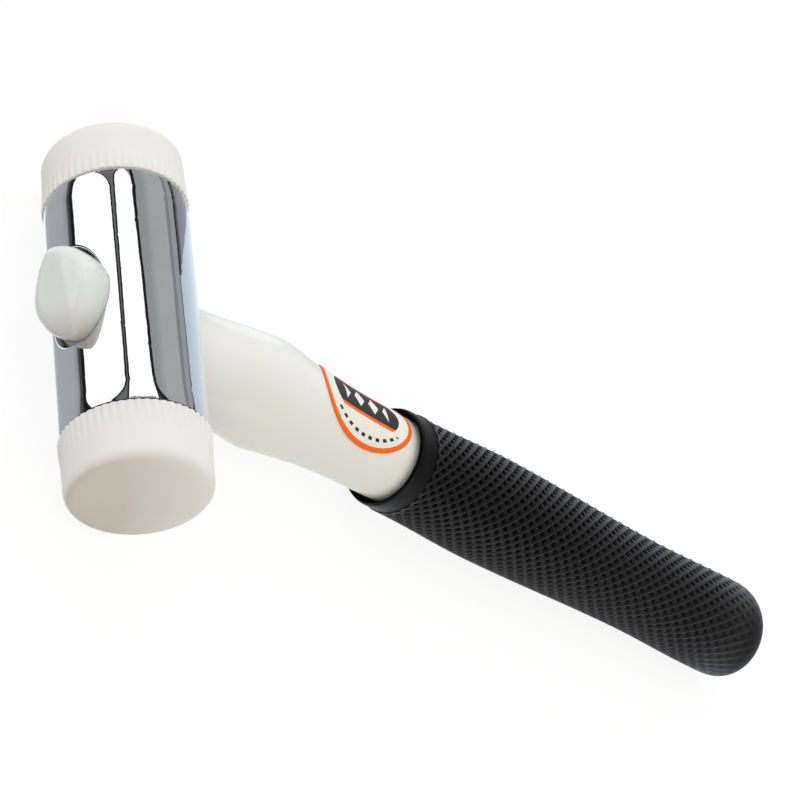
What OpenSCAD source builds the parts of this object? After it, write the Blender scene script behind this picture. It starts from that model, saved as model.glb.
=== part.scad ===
/* [Head] */
// Diameter of the chrome body
head_d = 38.6; // [30:0.2:50]
// Length of the chrome body between its two faces
head_len = 73.4; // [60:0.2:100]
// Rounding of the body's two end edges
head_edge_r = 1.2; // [0.5:0.1:4]
// Diameter of the socket in each end
socket_d = 24; // [18:0.5:28]
// Metal left between a socket's floor and the eye
web = 5.6; // [3:0.1:9]
// Eye for the handle, across the hammer
eye_w = 29.2; // [24:0.2:34]
// Eye for the handle, through the side
eye_h = 19.2; // [14:0.2:24]

/* [Faces] */
// How far the ribs of a face stand proud of the chrome body
rim_proud = 0.35; // [0:0.05:1]
// Length of a face that stands out of the head
face_len = 16.9; // [14:0.2:26]
// Rounding of the striking edge
face_edge_r = 3.2; // [1:0.1:4]
// How much the rim widens towards the head, on the radius
rim_draft = 0.2; // [0:0.05:0.6]
// Number of grip ribs round the rim
rib_count = 56; // [32:4:72]
// Height of a rib where it meets the head
rib_h = 0.45; // [0.2:0.05:0.8]
// Plain rim left between the ribs and the striking edge
rib_margin = 3.6; // [1:0.1:6]
// Radial clearance of a spigot in its socket
spigot_clear = 0.3; // [0.2:0.05:0.6]
// Gap left under the end of a spigot
spigot_end_gap = 0.8; // [0.4:0.1:2]
// Bevel at the end of a spigot
spigot_bevel = 1.2; // [0.4:0.1:2]

/* [Handle] */
// Clearance of the tang in the eye
eye_clear = 0.3; // [0.15:0.05:0.6]
// How far the shoulder stands past the eye, along the head
shoulder_over_w = 0.1; // [0:0.1:3]
// How far the shoulder stands past the eye, through the head
shoulder_over_h = 0.8; // [0:0.1:3]
// Depth in the eye at which the tang fills it
tang_ramp = 5; // [2:0.5:10]
// How much smaller the tang is where it comes out of the eye
tip_gap = 0.6; // [0.4:0.1:2]
// Gap between the formed end and the barrel under it
tip_seat = 0.3; // [0.2:0.05:1]
// How far the formed end overhangs the eye, along the head
tip_over_w = 1; // [0:0.1:3]
// How far the formed end overhangs the eye, through the head
tip_over_h = 0.9; // [0:0.1:3]
// Turn of the formed end about the handle
tip_turn = 11; // [-12:1:12]
// How far the formed end stands out of the head
tip_reach = 6.8; // [4:0.1:12]
// Lean of the formed end's top, along the head
tip_lean_y = -1.2; // [-3:0.1:3]
// Lean of the formed end's top, through the head
tip_lean_z = 1.5; // [-3:0.1:3]
// Diameter of the swell behind the head
swell_d = 31.6; // [26:0.2:40]
// Distance of the swell from the head
swell_reach = 32.3; // [20:0.1:45]
// Diameter of the neck
neck_d = 25; // [20:0.2:30]
// Distance from the swell to the neck
neck_reach = 40.6; // [24:0.1:50]
// Bare neck ahead of the grip
neck_len = 8.1; // [4:0.1:30]
// Diameter of the core's far end, inside the grip
core_end_d = 23; // [16:0.2:28]

/* [Grip] */
// Length of the sleeve from its mouth to the butt
grip_len = 173.1; // [120:0.1:220]
// Clearance between the sleeve and the core
grip_fit = 0.05; // [0.02:0.01:0.3]
// Wall at the lip of the mouth
lip_wall = 1.8; // [1:0.1:4]
// Flare of the bore at the mouth, on the radius
mouth_flare = 1; // [0:0.1:1.4]
// Depth of the flare
flare_depth = 4; // [1:0.5:8]
// Wall at the plain collar
collar_wall = 2.2; // [1.2:0.1:5]
// Length of the plain collar with its lip
collar_len = 5.8; // [3:0.1:12]
// Step from the collar up to the patterned body
body_step = 0.35; // [0:0.05:1]
// Wall at the palm swell
palm_wall = 3.85; // [2:0.05:8]
// Distance of the palm swell from the mouth
palm_at = 49; // [30:1:80]
// Wall at the waist
waist_wall = 3; // [1.5:0.1:7]
// Distance of the waist from the palm swell
waist_after = 66; // [30:1:90]
// Wall at the flare before the butt
butt_wall = 4; // [2:0.1:8]
// Length of the rounded butt
butt_round = 13.9; // [8:0.1:24]
// Rubber between the core's end and the butt
butt_floor = 5; // [3:0.1:10]

/* [Diamond pattern] */
// Ridges round the grip in each of the two crossing families
knurl_starts = 27; // [15:1:33]
// Depth of the pits between the ridges
knurl_depth = 0.7; // [0.3:0.05:1.2]
// Spacing of the first family along the grip, at the collar
main_pitch = 3.22; // [2.5:0.02:8]
// Spacing of the first family along the grip, at the butt
main_pitch_end = 5.76; // [2.5:0.02:8]
// Spacing of the second family along the grip, at the collar
cross_pitch = 4.4; // [2.5:0.02:8]
// Spacing of the second family along the grip, at the butt
cross_pitch_end = 5.6; // [2.5:0.02:8]
// Length over which the pits fade out towards the butt
knurl_fade = 8; // [2:0.5:20]
// Smooth end of the butt behind the pattern
butt_plain = 4.4; // [2:0.1:12]

/* [Label] */
// Length of the oval label along the shank
label_l = 38.2; // [20:0.2:44]
// Width of the label round the shank
label_w = 27.2; // [16:0.2:36]
// Gap from the label to the grip's mouth
label_gap = 1.4; // [0.5:0.1:20]
// Turn of the label round the shank from straight up
label_turn = 11; // [-60:1:60]
// Thickness of the label
label_t = 0.16; // [0.1:0.02:0.4]

/* [Hidden] */
$fn = 96;
overcut = 1;

// Head and faces
head_r = head_d / 2;
half_len = head_len / 2;
socket_depth = half_len - eye_w / 2 - web;
spigot_r = socket_d / 2 - spigot_clear;
spigot_len = socket_depth - spigot_end_gap;
crest_r = head_r + rim_proud;
rim_seat_r = crest_r - rib_h;
face_r = rim_seat_r - rim_draft;
rib_len = face_len - face_edge_r - rib_margin;
// Depth of the rib pattern's roots below the rim's surface
rib_root = 0.12;
// Points along each rib's arch
rib_steps = 6;
// Sides of the eye's oval
eye_sides = 72;

// Stations along the handle, from the head's middle
tip_x = -(head_r + tip_reach);
tang_full_x = -head_r + tang_ramp;
tang_end_x = head_r;
shoulder_x = head_r + eye_clear;
swell_x = head_r + swell_reach;
neck_x = swell_x + neck_reach;
mouth_x = neck_x + neck_len;
grip_end_x = mouth_x + grip_len;
core_end_x = grip_end_x - butt_floor;
// Length of the core's rounded end
core_dome = 6;
core_dome_x = core_end_x - core_dome;
tang_w = eye_w - 2 * eye_clear;
tang_h = eye_h - 2 * eye_clear;
shoulder_w = eye_w + 2 * shoulder_over_w;
shoulder_h = eye_h + 2 * shoulder_over_h;
handle_sides = 44;
// Formed end: half sizes, the base's shift through the head, and two exponents
tip_half_w = eye_w / 2 + tip_over_w;
tip_half_h = eye_h / 2 + tip_over_h;
tip_shift = 0.65;
// Outline: 2 is an ellipse, 1 a diamond
tip_corner = 1.6;
// Profile: 2 is an ellipse, more is blunter
tip_blunt = 3.9;
// How soon the shank falls away behind the swell: 1 is even, less is sooner
swell_fall = 0.58;

// Grip
butt_x = grip_end_x - butt_round;
palm_x = mouth_x + palm_at;
waist_x = palm_x + waist_after;
collar_x = mouth_x + collar_len;
butt_r = core_r(butt_x) + grip_fit + butt_wall;
lip_round = 0.4;
collar_round = 0.5;
butt_blunt = 2.8;
butt_steps = 7;

// Diamond pattern: ridges per millimetre at the collar, and half their change per millimetre
knurl_len = grip_end_x - collar_x;
knurl_end_x = grip_end_x - butt_plain;
main_rate = 1 / main_pitch;
main_rise = (1 / main_pitch_end - main_rate) / (2 * knurl_len);
cross_rate = 1 / cross_pitch;
cross_rise = (1 / cross_pitch_end - cross_rate) / (2 * knurl_len);
row_rate = main_rate + cross_rate;
row_rise = main_rise + cross_rise;
knurl_rows = floor(ridges(row_rate, row_rise, knurl_end_x));
grip_sides = 2 * knurl_starts;

// Label: layer of glue under it, deeper than the facets of the two surfaces
label_glue = 0.08;

// Pose on the bench: the faces' rims and the sleeve both touch it
rest_r = max(crest_r, head_r);
rest_steps = 200;
rest_tilt = min([for (x = span(collar_x, grip_end_x, rest_steps)) asin((rest_r - sleeve_r(x)) / x)]);
origin_x = -(tip_x + grip_end_x) / 2;

function mix(a, b, t) = a + (b - a) * t;
// Level at both ends, so that stretches join without a crease
function ease(t) = (1 - cos(180 * min(1, max(0, t)))) / 2;
function blend(a, b, x0, x1, x) = mix(a, b, ease((x - x0) / (x1 - x0)));
// Shrink factor along a dome: 1 at its base, 0 at its pole
function dome(t, blunt) = pow(1 - pow(t, blunt), 1 / blunt);
// Even steps from a to b, both ends in
function span(a, b, n) = [for (i = [0:n]) mix(a, b, i / n)];
// Steps along a dome that close up where it turns in
function dome_steps(n, blunt = 2) = [for (i = [1:n - 1]) pow(sin(90 * i / n), 2 / blunt)];

// Radius of the handle's round core behind the neck
function core_r(x) = mix(neck_d, core_end_d, max(0, (x - mouth_x) / (core_dome_x - mouth_x))) / 2;

// Radius of the round shank and core behind the swell
function shank_r(x) =
    x < neck_x ? mix(swell_d, neck_d, ease(pow((x - swell_x) / (neck_x - swell_x), swell_fall))) / 2
    : core_r(x);

// Half size of the handle at x, from its full sizes in the eye and at the shoulder
function half_size(tang, shoulder, x) =
    x < shoulder_x ? tang / 2
    : x < swell_x ? blend(shoulder, swell_d, shoulder_x, swell_x, x) / 2
    : shank_r(x);

// One ring of the handle at x, shrunk by k, from straight up towards +Y
function handle_ring(x, k = 1) = [for (i = [0:handle_sides - 1])
    let (a = 360 * i / handle_sides)
    [x, k * half_size(tang_w, shoulder_w, x) * sin(a), k * half_size(tang_h, shoulder_h, x) * cos(a)]];

// Outline of the formed end from its half sizes, turned about the handle, as pairs along Y and Z
function tip_outline(w, h) = [for (i = [0:handle_sides - 1])
    let (
        s = sin(360 * i / handle_sides),
        c = cos(360 * i / handle_sides),
        y = w * sign(s) * pow(abs(s), 2 / tip_corner),
        z = h * sign(c) * pow(abs(c), 2 / tip_corner))
    [y * cos(tip_turn) + z * sin(tip_turn), z * cos(tip_turn) - y * sin(tip_turn)]];
// Place along the handle just outside the barrel, at height z
function over_barrel(z) = -sqrt(pow(head_r, 2) - pow(z, 2)) - tip_seat;

// Ring of the formed end, a share t of the way from its seat over the barrel to its top
function tip_ring(t) = [for (p = tip_outline(tip_half_w, tip_half_h))
    let (k = dome(t, tip_blunt))
    [
        mix(over_barrel(tip_shift + p[1]), tip_x, t),
        mix(0, tip_lean_y, t) + k * p[0],
        mix(tip_shift, tip_lean_z, t) + k * p[1]]];

// Ring of the tang, a share t of the way from under the formed end to where it fills the eye
function tang_ring(t) =
    let (
        out = tip_outline(tang_w / 2 - tip_gap, tang_h / 2 - tip_gap),
        full = handle_ring(tang_full_x))
    [for (i = [0:handle_sides - 1]) [
        mix(over_barrel(out[i][1]), tang_full_x, t),
        mix(out[i][0], full[i][1], ease(t)),
        mix(out[i][1], full[i][2], ease(t))]];

// Triangles of a loft: point 0 is a pole, rings of n points follow, and the last point is a pole
function first_fan(n) = [for (i = [0:n - 1]) [0, 1 + (i + 1) % n, 1 + i]];
function strip(ring, n) = [for (i = [0:n - 1])
    let (a = 1 + ring * n + i, b = 1 + ring * n + (i + 1) % n)
    each [[a, b, b + n], [a, b + n, a + n]]];
function last_fan(ring, n) = [for (i = [0:n - 1])
    let (base = 1 + ring * n)
    [base + i, base + (i + 1) % n, base + n]];
function loft_faces(rings, n) = concat(
    first_fan(n),
    [for (r = [0:rings - 2]) each strip(r, n)],
    last_fan(rings - 1, n));

// Outer radius of the grip at x, behind the collar
function grip_r(x) = core_r(x) + grip_fit + (
    x < palm_x ? blend(collar_wall + body_step, palm_wall, collar_x, palm_x, x)
    : x < waist_x ? blend(palm_wall, waist_wall, palm_x, waist_x, x)
    : blend(waist_wall, butt_wall, waist_x, butt_x, x));
// Outer radius with the rounded butt
function sleeve_r(x) = x < butt_x ? grip_r(x) : butt_r * dome((x - butt_x) / butt_round, butt_blunt);

// Ridges of one family, counted along the grip from the collar to x
function ridges(rate, rise, x) = rate * (x - collar_x) + rise * pow(x - collar_x, 2);
// Place along the grip where the ridges of both families cross for the v-th time
function row_x(v) = collar_x + 2 * v / (row_rate + sqrt(pow(row_rate, 2) + 4 * row_rise * v));
function pit_depth(x) = knurl_depth * (1 - ease((x - knurl_end_x + knurl_fade) / knurl_fade));

// Ring of the grip at x, from straight up towards +Y, with every second point sunk
function grip_ring(x, r, sunk = 0) =
    let (turn = ridges(cross_rate, cross_rise, max(collar_x, x)))
    [for (j = [0:grip_sides - 1])
        let (a = 360 * (j / 2 - turn) / knurl_starts, rj = r - sunk * (j % 2))
        [x, rj * sin(a), rj * cos(a)]];

// Four triangles down into each pit of a row from the crossings round it; the first and last rows have two
function pit_faces(ring, v) = [for (j = [1:2:grip_sides - 1])
    let (
        base = 1 + ring * grip_sides,
        pit = base + j,
        left = base + j - 1,
        right = base + (j + 1) % grip_sides,
        below = left - grip_sides,
        above = right + grip_sides)
    each concat(
        v > 0 ? [[below, right, pit], [left, below, pit]] : [],
        v < knurl_rows ? [[right, above, pit], [above, left, pit]] : [])];

// Point on the shank at x and angle a from straight up, lifted by h
function shank_point(x, a, h) = [x, (shank_r(x) + h) * sin(a), (shank_r(x) + h) * cos(a)];

// The hammer lies on its side, handle along +X, head along Y
module lying() {
    translate([origin_x, 0, rest_r])
        rotate([0, rest_tilt, 0])
            children();
}

// Turns a shape made about +Z so that its axis runs along the head; side is -1 for the front
module along_head(side) {
    rotate([side > 0 ? -90 : 90, 0, 0])
        children();
}

module eye_outline() {
    polygon([for (i = [0:eye_sides - 1])
        let (a = 360 * i / eye_sides)
        [eye_h / 2 * cos(a), eye_w / 2 * sin(a)]]);
}

// Half section of the chrome body with its rounded end edges
module head_section() {
    inner_r = head_r - head_edge_r;
    inner_len = half_len - head_edge_r;
    translate([0, -half_len])
        square([inner_r, head_len]);
    translate([0, -inner_len])
        square([head_r, 2 * inner_len]);
    for (end = [-1, 1])
        intersection() {
            translate([inner_r, end * inner_len])
                circle(head_edge_r);
            translate([0, -half_len])
                square([head_r, head_len]);
        }
}

module head() {
    color("silver")
        lying()
            difference() {
                along_head(1)
                    rotate_extrude()
                        head_section();
                for (side = [-1, 1])
                    along_head(side)
                        translate([0, 0, half_len - socket_depth])
                            cylinder(d = socket_d, h = socket_depth + overcut);
                rotate([0, 90, 0])
                    linear_extrude(head_d + 2 * overcut, center = true)
                        eye_outline();
            }
}

// Half section of a face from its seat on the head to the striking face
module face_section() {
    edge_z = face_len - face_edge_r;
    edge_r = face_r - face_edge_r;
    polygon([
        [0, 0],
        [rim_seat_r, 0],
        [face_r, edge_z],
        [edge_r, edge_z],
        [edge_r, face_len],
        [0, face_len]]);
    intersection() {
        translate([edge_r, edge_z])
            circle(face_edge_r);
        translate([edge_r, edge_z])
            square(face_edge_r);
    }
}

// Ring of arched ribs that fade out towards the striking edge
module rim_ribs() {
    root_r = face_r - rib_root;
    intersection() {
        linear_extrude(rib_len)
            polygon([for (i = [0:rib_count - 1], k = [0:rib_steps - 1])
                let (t = k / rib_steps, r = mix(root_r, crest_r, sqrt(sin(180 * t))))
                r * [cos(360 * (i + t - 0.5) / rib_count), sin(360 * (i + t - 0.5) / rib_count)]]);
        cylinder(r1 = crest_r, r2 = root_r, h = rib_len);
    }
}

// A face with its seat at the head's end and its spigot in the socket
module screw_face(side) {
    along_head(side)
        translate([0, 0, half_len]) {
            rotate_extrude()
                face_section();
            rim_ribs();
            translate([0, 0, -spigot_len + spigot_bevel])
                cylinder(r = spigot_r, h = spigot_len);
            translate([0, 0, -spigot_len])
                cylinder(r1 = spigot_r - spigot_bevel, r2 = spigot_r, h = spigot_bevel);
        }
}

module front_face() {
    color("ivory")
        lying()
            screw_face(-1);
}

module rear_face() {
    color("ivory")
        lying()
            screw_face(1);
}

// One moulding: formed end, tang, shoulder, swollen shank, neck and the core inside the grip
module handle() {
    tip_steps = 9;
    tang_steps = 5;
    swell_steps = 12;
    neck_steps = 15;
    core_steps = 4;
    tip_rings = [for (t = dome_steps(tip_steps, tip_blunt)) tip_ring(t)];
    body_x = concat(
        [tang_end_x],
        span(shoulder_x, swell_x, swell_steps),
        [for (i = [1:neck_steps]) mix(swell_x, neck_x, i / neck_steps)],
        [mouth_x, core_dome_x]);
    end_rings = [for (t = dome_steps(core_steps)) handle_ring(mix(core_dome_x, core_end_x, t), dome(t, 2))];
    rings = concat(
        [for (i = [len(tip_rings) - 1:-1:0]) tip_rings[i]],
        [tip_ring(0)],
        [for (t = span(0, 1, tang_steps)) tang_ring(t)],
        [for (x = body_x) handle_ring(x)],
        end_rings);
    points = concat(
        [[tip_x, tip_lean_y, tip_lean_z]],
        [for (ring = rings) each ring],
        [[core_end_x, 0, 0]]);
    color("whitesmoke")
        lying()
            polyhedron(points, loft_faces(len(rings), handle_sides), convexity = 4);
}

// Half section of the bore: x along the grip, y its radius
module bore_section() {
    bore_end_x = core_end_x + grip_fit;
    bore_steps = 8;
    mouth_r = core_r(mouth_x) + grip_fit + mouth_flare;
    polygon(concat(
        [[mouth_x - overcut, 0], [bore_end_x, 0]],
        [for (i = [bore_steps - 1:-1:1]) let (t = sin(90 * i / bore_steps))
            [mix(core_dome_x, bore_end_x, t), (core_r(core_dome_x) + grip_fit) * dome(t, 2)]],
        [for (x = [core_dome_x, mouth_x + flare_depth]) [x, core_r(x) + grip_fit]],
        [[mouth_x, mouth_r], [mouth_x - overcut, mouth_r]]));
}

// Sleeve with its lip, collar, crossing ridges and round butt, before it is bored
module sleeve() {
    lip_r = core_r(mouth_x) + grip_fit + lip_wall;
    collar_r = core_r(collar_x) + grip_fit + collar_wall;
    front = [
        grip_ring(mouth_x, lip_r - lip_round),
        grip_ring(mouth_x + lip_round, lip_r),
        grip_ring(mouth_x + 2 * lip_round, collar_r - collar_round / 2),
        grip_ring(mouth_x + 3 * lip_round, collar_r),
        grip_ring(collar_x - collar_round, collar_r)];
    rows = [for (v = [0:knurl_rows]) let (x = row_x(v)) grip_ring(x, sleeve_r(x), pit_depth(x))];
    butt = [for (t = dome_steps(butt_steps))
        let (x = mix(row_x(knurl_rows), grip_end_x, t))
        grip_ring(x, sleeve_r(x))];
    first_row = len(front);
    last_row = first_row + knurl_rows;
    last_ring = last_row + len(butt);
    points = concat(
        [[mouth_x, 0, 0]],
        [for (ring = concat(front, rows, butt)) each ring],
        [[grip_end_x, 0, 0]]);
    faces = concat(
        first_fan(grip_sides),
        [for (r = [0:first_row - 1]) each strip(r, grip_sides)],
        [for (v = [0:knurl_rows]) each pit_faces(first_row + v, v)],
        [for (r = [last_row:last_ring - 1]) each strip(r, grip_sides)],
        last_fan(last_ring, grip_sides));
    polyhedron(points, faces, convexity = 6);
}

module grip() {
    color("dimgray")
        lying()
            difference() {
                sleeve();
                rotate([0, 90, 0])
                    rotate([0, 0, 90])
                        rotate_extrude()
                            mirror([1, -1])
                                bore_section();
            }
}

// Thin oval film wrapped on the shank, as a lower and an upper skin of rings about its middle
module label() {
    label_x = mouth_x - label_gap - label_l / 2;
    label_rings = 8;
    label_sides = 48;
    lift = [label_glue, label_glue + label_t];
    function wrap(rho, u, h) =
        let (x = label_x + rho * label_l / 2 * cos(u))
        shank_point(x, label_turn + rho * label_w / 2 * sin(u) / shank_r(x) * 180 / PI, h);
    skin = function(h) [for (r = [1:label_rings], i = [0:label_sides - 1])
        wrap(r / label_rings, 360 * i / label_sides, h)];
    upper = skin(lift[1]);
    lower = skin(lift[0]);
    flipped = [for (r = [label_rings - 1:-1:0], i = [0:label_sides - 1]) lower[r * label_sides + i]];
    points = concat([wrap(0, 0, lift[1])], upper, flipped, [wrap(0, 0, lift[0])]);
    color("orange")
        lying()
            polyhedron(points, loft_faces(2 * label_rings, label_sides), convexity = 4);
}

head();
front_face();
rear_face();
handle();
grip();
label();
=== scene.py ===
import math

import bmesh
import bpy
import numpy as np
from mathutils import Matrix, Vector, noise


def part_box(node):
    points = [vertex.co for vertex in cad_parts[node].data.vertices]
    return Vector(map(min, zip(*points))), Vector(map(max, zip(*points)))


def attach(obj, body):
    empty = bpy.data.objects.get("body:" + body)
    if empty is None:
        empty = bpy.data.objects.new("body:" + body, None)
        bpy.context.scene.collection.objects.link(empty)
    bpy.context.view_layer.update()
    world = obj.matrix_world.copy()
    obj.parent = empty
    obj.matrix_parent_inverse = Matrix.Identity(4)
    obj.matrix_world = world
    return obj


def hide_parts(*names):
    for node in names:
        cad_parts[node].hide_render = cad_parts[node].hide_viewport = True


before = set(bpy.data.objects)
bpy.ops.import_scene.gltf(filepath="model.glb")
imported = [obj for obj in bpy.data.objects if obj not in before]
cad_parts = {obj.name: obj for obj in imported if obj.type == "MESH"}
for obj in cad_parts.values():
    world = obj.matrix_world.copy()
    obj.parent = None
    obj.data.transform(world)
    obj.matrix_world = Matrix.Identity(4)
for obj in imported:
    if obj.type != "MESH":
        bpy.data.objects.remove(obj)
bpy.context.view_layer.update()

# Sizes are in millimetres in the hammer's own frame: the origin is the middle of the head,
# X runs along the handle, Y along the head from the front to the rear face, Z is up.
# Only the floor and the lamp are given in metres.
MM = 0.001

# Pose on the bench: the head's middle, and the tilt that lets the butt touch down
HEAD_MIDDLE = (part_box("head")[0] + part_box("head")[1]) / 2
REST_TILT = math.radians(0.8985)
REST = Matrix.Translation(HEAD_MIDDLE) @ Matrix.Rotation(REST_TILT, 4, "Y") @ Matrix.Scale(MM, 4)

# Head
HEAD_R = 19.3
HEAD_HALF = 36.7
HEAD_EDGE = 0.6
# Soft fall of the polished barrel towards its ends: length and depth
HEAD_ROLL = 6.0
HEAD_ROLL_DROP = 0.3
EYE_Y = 14.6
EYE_Z = 9.6
EYE_RIM = 1.0
SOCKET_R = 12.0
SOCKET_DEPTH = 16.5
SOCKET_CHAMFER = 0.9
# Depth where the socket's thread is full, length of its run-out and the plain part under it
SOCKET_FULL = 2.5
SOCKET_RUNOUT = 2.0
SOCKET_PLAIN = 1.0
# Width of the narrow rings that keep flat ends crisp beside their edges
EDGE_LOOP = 0.3

# Screw-in faces
FACE_LEN = 16.9
FACE_EDGE = 3.2
CREST_R = 19.65
SEAT_R = 19.2
FACE_R = 19.0
RIB_ROOT_R = 18.88
RIB_COUNT = 56
RIB_LEN = 10.1
SPIGOT_R = 11.7
SPIGOT_LEN = 15.7
SPIGOT_BEVEL = 1.2
# Depth of the plain neck under the seat, and depth where the spigot's thread is full
SPIGOT_NECK = 1.2
SPIGOT_FULL = 3.0
# Last ring of the spigot's side before its end, and step in on the end
SPIGOT_LAST = 0.1
SPIGOT_STEP = 0.2
# Seat: step from the spigot to its inner edge, height of the rim's first ring, and the rings of the
# rim's corner as step in and height
SEAT_STEP = 1.2
RIM_START = 0.25
RIM_CORNER = ((0.12, 0.06), (0.3, 0.0))
THREAD_PITCH = 3.0
THREAD_DEPTH = 0.8
# Painted shade and wear of a struck disc, a darker tone that is partly wear and partly painted shade, whose
# fall across
# it is painted shade: in its middle, its fall per millimetre across, the part missing on the low side and the
# distances between which that part grows
DISC_SHADE_AND_WEAR = 0.84
DISC_SHADE_FALL = 0.028
DISC_SHADE_LOW = 0.2
DISC_SHADE_LOW_AT = (8, 24)
# Fade of the painted shade and wear in the rounded edge: start outside the flat disc, end outside the face's
# radius
DISC_SHADE_AND_WEAR_FADE = (1.4, 0.1)

# Handle
TIP_X = -26.1
TANG_FULL_X = -14.3
TANG_END_X = 19.3
SHOULDER_X = 19.6
SWELL_X = 51.6
NECK_X = 92.2
MOUTH_X = 100.3
CORE_DOME_X = 262.4
CORE_END_X = 268.4
TANG = (28.6, 18.6)
SHOULDER = (29.4, 20.8)
# Length over which the shoulder's curve over the barrel fades into the shank
SHOULDER_FADE = 12.0
SWELL_D = 31.6
SWELL_FALL = 0.58
NECK_D = 25.0
CORE_END_D = 23.0

# Formed end: half sizes, shift and turn of its outline, lean of its top, gap to the barrel under it,
# step in to the tang, the share of that step which a fillet fills, and how square outline and top are
TIP_HALF = (15.6, 10.5)
TIP_SHIFT = 0.65
TIP_TURN = math.radians(11)
TIP_LEAN = (-1.2, 1.5)
TIP_SEAT = 0.06
TIP_GAP = 1.5
TIP_FILLET = 0.85
TIP_CORNER = 1.6
TIP_BLUNT = 3.9
# Hand-formed facets: height, and how fast they change along each axis
TIP_LUMP = 0.7
TIP_FACET = (0.10, 0.06, 0.22)
# Painted shade on the formed end: where it stops inside the eye, where its darker lower side starts and is
# full along the head, how that line slants with height, and how dark that side is painted
TIP_TONE_X = -15.0
TIP_SHADE_AT = (-4, -15)
TIP_SHADE_SLANT = 0.35
TIP_SHADE = 0.8

# Grip
GRIP_FIT = 0.05
LIP_WALL = 1.8
LIP_LEN = 0.9
MOUTH_FLARE = 1.4
FLARE_DEPTH = 4.0
COLLAR_WALL = 2.2
COLLAR_X = 107.1
BODY_STEP = 0.35
PALM_X = 149.3
PALM_WALL = 3.85
WAIST_X = 215.3
WAIST_WALL = 3.0
BUTT_X = 259.5
BUTT_WALL = 4.0
BUTT_BLUNT = 2.8
BUTT_LEAN = (-1.4, -1.5)
GRIP_END_X = 273.4
KNURL_STARTS = 27
KNURL_CELL = 6
KNURL_DEPTH = 0.78
KNURL_CROSS_HEIGHT = 0.58
KNURL_RISE = 2.4
KNURL_FADE = 24.0
KNURL_END_X = 269.0
# Spacing of the two crossing families of ridges along the grip, at the collar and at the butt
KNURL_MAIN = (3.22, 5.76)
KNURL_CROSS = (4.4, 5.6)
# Profile in shares of a cell: fall behind a ridge, rise to the next one, half width of a tooth at its
# point, how much it gains, and the share of it that is flat
RIDGE_FALL = (0.08, 0.30)
RIDGE_RISE = (0.66, 1.0)
TOOTH_POINT = 0.10
TOOTH_GAIN = 0.48
TOOTH_FLAT = 0.35
# Share of their painted shade that the pits lose from this far behind the collar to the waist
PIT_LOSS_WAIST = 0.25
PIT_LOSS_START = 10
# Share of their painted shade that they lose near the butt, between these distances before the knurl's end
PIT_LOSS_BUTT = 0.62
PIT_LOSS_AT = (36, 4)
# Tone that the butt loses, from before its dome to before its end
BUTT_LOSS = 0.45
BUTT_LOSS_AT = (8, 4)
COLLAR_TONE = 0.5

# Label
LABEL_HALF = (19.1, 13.6)
LABEL_X = 79.8
LABEL_TURN = math.radians(11)
LABEL_GLUE = 0.08
LABEL_T = 0.16

# Places along the head's axis, out at the studio cards, that the barrel's middle and the start of its
# rolled end reflect to the camera
CARD_MIDDLE = 433
CARD_ROLL = 494
# Distance from the middle at which a bowed edge is off by its full bow
CARD_BOW_AT = 70

# Camera in the hammer's own frame, fitted to the outlines in the photograph
CAMERA_AT = (-436.3, -432.5, 410.3)
CAMERA_LOOKS = Vector((0.6664, 0.5546, -0.4983))
CAMERA_UP = Vector((-0.3509, 0.8230, 0.4467))
CAMERA_LENS = 128.04


def ease(t):
    """Cosine step from 0 to 1."""
    return (1 - np.cos(np.pi * np.clip(t, 0, 1))) / 2


def blend(a, b, x0, x1, x):
    """From a at x0 to b at x1, by a cosine step."""
    return a + (b - a) * ease((x - x0) / (x1 - x0))


def smooth(x0, x1, x):
    """Cubic step from 0 at x0 to 1 at x1."""
    t = np.clip((x - x0) / (x1 - x0), 0, 1)
    return t * t * (3 - 2 * t)


def dome(t, blunt):
    """Share of its radius that a dome has at a share t of its height: round at 2, squarer above."""
    return np.power(np.maximum(1 - np.power(t, blunt), 0), 1 / blunt)


def core_r(x):
    """Radius of the neck and of the tapered core in the grip."""
    share = np.maximum(0, (x - MOUTH_X) / (CORE_DOME_X - MOUTH_X))
    return (NECK_D + (CORE_END_D - NECK_D) * share) / 2


def shank_r(x):
    """Radius of the round shank and core behind the swell."""
    share = np.clip((x - SWELL_X) / (NECK_X - SWELL_X), 0, 1)
    shank = (SWELL_D + (NECK_D - SWELL_D) * ease(share**SWELL_FALL)) / 2
    return np.where(x < NECK_X, shank, core_r(x))


def half_size(x, tang, shoulder):
    """Half width or thickness of the handle at x, from its full sizes in the eye and at the shoulder."""
    x = np.asarray(x, float)
    return np.select(
        [x < SHOULDER_X, x < SWELL_X],
        [tang / 2, blend(shoulder, SWELL_D, SHOULDER_X, SWELL_X, x) / 2],
        shank_r(x),
    )


def grip_r(x):
    """Radius of the sleeve over its ridges, without the butt's dome."""
    x = np.asarray(x, float)
    wall = np.select(
        [x < PALM_X, x < WAIST_X],
        [
            blend(COLLAR_WALL + BODY_STEP, PALM_WALL, COLLAR_X, PALM_X, x),
            blend(PALM_WALL, WAIST_WALL, PALM_X, WAIST_X, x),
        ],
        blend(WAIST_WALL, BUTT_WALL, WAIST_X, BUTT_X, x),
    )
    return core_r(x) + GRIP_FIT + wall


def tooth(turns):
    """Thread profile: 0 in the root and 1 on the crest, with narrow flats."""
    flat = 0.15
    saw = 1 - np.abs(2 * (turns - np.floor(turns)) - 1)
    return np.clip((saw - flat) / (1 - 2 * flat), 0, 1)


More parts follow.
